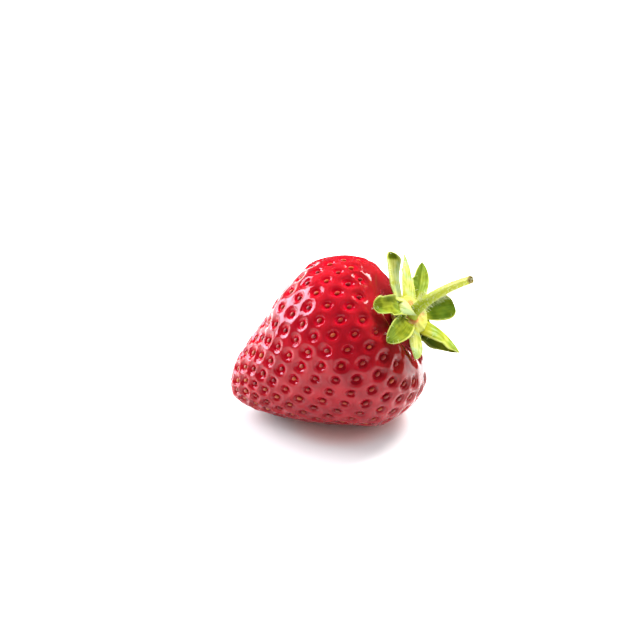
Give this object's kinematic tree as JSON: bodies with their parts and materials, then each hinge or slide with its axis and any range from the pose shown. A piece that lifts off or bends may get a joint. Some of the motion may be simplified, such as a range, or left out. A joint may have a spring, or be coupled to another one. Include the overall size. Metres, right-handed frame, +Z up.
{
  "type": "strawberry",
  "caption": "Ripe strawberry lying on its flank, with pitted seeds, a leafy calyx and a short curved stalk.",
  "frame": {"origin": "middle of the small flat spot on the berry's flank that it rests on", "axes": "+Z up from the surface it lies on; +X level, from the berry's tip towards its stalk end; +Y level, towards the berry's back"},
  "size_m": [0.0509, 0.0383, 0.0377],
  "materials": {
    "flesh": "gloss",
    "leaf": "satin",
    "stalk": "satin"
  },
  "bodies": {
    "root": {"berry": "flesh", "calyx": "leaf", "stalk": "stalk"}
  },
  "joints": []
}
